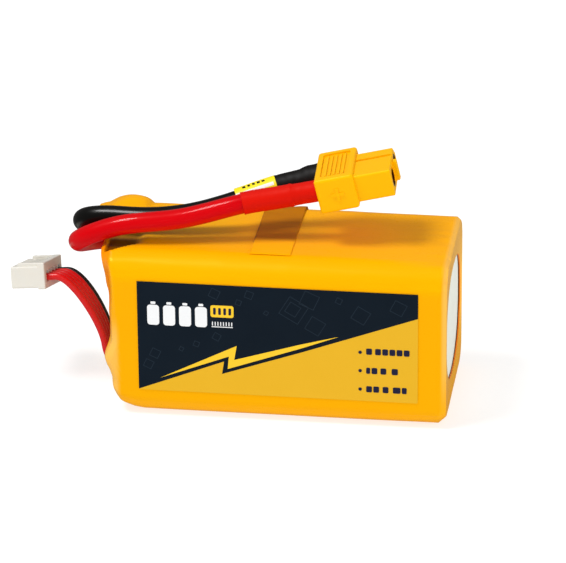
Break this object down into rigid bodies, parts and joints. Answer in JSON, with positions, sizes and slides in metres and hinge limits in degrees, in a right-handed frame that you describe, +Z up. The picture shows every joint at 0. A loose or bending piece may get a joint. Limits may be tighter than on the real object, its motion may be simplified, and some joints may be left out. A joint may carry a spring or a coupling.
{
  "type": "lipo battery pack",
  "caption": "Shrink-wrapped lithium polymer pack with pouch cells inside, flexible main leads ending in a two-pole socket plug, and a ribbon balance lead with its own plug.",
  "frame": {"origin": "centre of the pack's flat bottom face", "axes": "+X along the pack away from the leads' end, +Y away from the labelled face, +Z up"},
  "size_m": [0.1009, 0.0377, 0.0576],
  "materials": {
    "yellow_film": "semi-gloss heat-shrunk film",
    "printed_label": "satin printed label, dark blue over pale gold",
    "amber_tape": "clear amber tape",
    "white_card": "matt white card",
    "black_foam": "matt closed-cell foam",
    "bond_foam": "matt double-sided foam tape",
    "tab_sealant": "translucent polypropylene",
    "board_laminate": "glass-epoxy laminate",
    "copper": "bright copper",
    "solder": "bright solder",
    "fibre_paper": "matt fibre paper",
    "red_silicone": "semi-gloss silicone rubber",
    "black_silicone": "semi-gloss silicone rubber",
    "copper_strand": "tinned copper strands",
    "red_heatshrink": "matt heat-shrink tube",
    "black_heatshrink": "matt heat-shrink tube",
    "yellow_vinyl": "printed vinyl",
    "yellow_nylon": "satin moulded nylon",
    "gold_plate": "bright gold plate",
    "red_wire": "semi-gloss wire jacket",
    "black_wire": "semi-gloss wire jacket",
    "white_nylon": "satin moulded nylon",
    "tin_plate": "tin plate",
    "pouch_laminate": "satin aluminium laminate",
    "electrode_foil": "coated foils",
    "tab_aluminium": "bare aluminium",
    "tab_nickel": "nickel plate"
  },
  "bodies": {
    "pack": {"balance_black_root": "black_wire", "balance_red_roots": "red_wire", "balance_solder_joints": "solder", "bottom_pad": "black_foam", "cell_1_electrode_stack": "electrode_foil", "cell_1_negative_tab": "tab_nickel", "cell_1_positive_tab": "tab_aluminium", "cell_1_pouch": "pouch_laminate", "cell_2_electrode_stack": "electrode_foil", "cell_2_negative_tab": "tab_nickel", "cell_2_positive_tab": "tab_aluminium", "cell_2_pouch": "pouch_laminate", "cell_3_electrode_stack": "electrode_foil", "cell_3_negative_tab": "tab_nickel", "cell_3_positive_tab": "tab_aluminium", "cell_3_pouch": "pouch_laminate", "cell_4_electrode_stack": "electrode_foil", "cell_4_negative_tab": "tab_nickel", "cell_4_positive_tab": "tab_aluminium", "cell_4_pouch": "pouch_laminate", "cell_bond_pads": "bond_foam", "end_card": "white_card", "face_label": "printed_label", "lead_core_roots": "copper_strand", "lead_solder_joints": "solder", "negative_lead_root": "black_silicone", "pack_terminal_pads": "copper", "positive_lead_root": "red_silicone", "series_links": "copper", "shrink_sleeve": "yellow_film", "tab_board": "board_laminate", "tab_insulator": "fibre_paper", "tab_sealant_strips": "tab_sealant", "tape_band": "amber_tape", "top_pad": "black_foam"},
    "main_lead": {"positive_lead_bend": "red_silicone", "negative_lead_bend": "black_silicone", "positive_lead_jacket": "red_silicone", "negative_lead_jacket": "black_silicone", "lead_cores": "copper_strand", "positive_lead_flex": "red_silicone", "negative_lead_flex": "black_silicone"},
    "main_plug": {"positive_lead_tail": "red_silicone", "negative_lead_tail": "black_silicone", "lead_core_tails": "copper_strand", "positive_heatshrink": "red_heatshrink", "negative_heatshrink": "black_heatshrink", "negative_lead_tag": "yellow_vinyl", "plug_housing": "yellow_nylon", "plug_solder": "solder", "positive_socket": "gold_plate", "negative_socket": "gold_plate"},
    "balance_lead": {"balance_red_bends": "red_wire", "balance_black_bend": "black_wire", "balance_red_wires": "red_wire", "balance_black_wire": "black_wire", "balance_housing": "white_nylon", "balance_terminals": "tin_plate"}
  },
  "joints": [
    {"name": "lead_fold", "type": "hinge", "parent": "pack", "child": "main_lead", "pos_m": [-0.0423, 0, 0.0348], "axis": [0, -1, 0], "range_deg": [0, 130], "deforming": ["positive_lead_bend", "negative_lead_bend"]},
    {"name": "plug_tilt", "type": "hinge", "parent": "main_lead", "child": "main_plug", "pos_m": [-0.0158, 0, 0.0453], "axis": [0, -1, 0], "range_deg": [-14, 30], "stiffness_Nm_per_rad": 0.04, "deforming": ["positive_lead_flex", "negative_lead_flex"]},
    {"name": "balance_fold", "type": "hinge", "parent": "pack", "child": "balance_lead", "pos_m": [-0.0389, 0, 0.0097], "axis": [0, -1, 0], "range_deg": [0, 45], "stiffness_Nm_per_rad": 0.006, "deforming": ["balance_red_bends", "balance_black_bend"]}
  ]
}
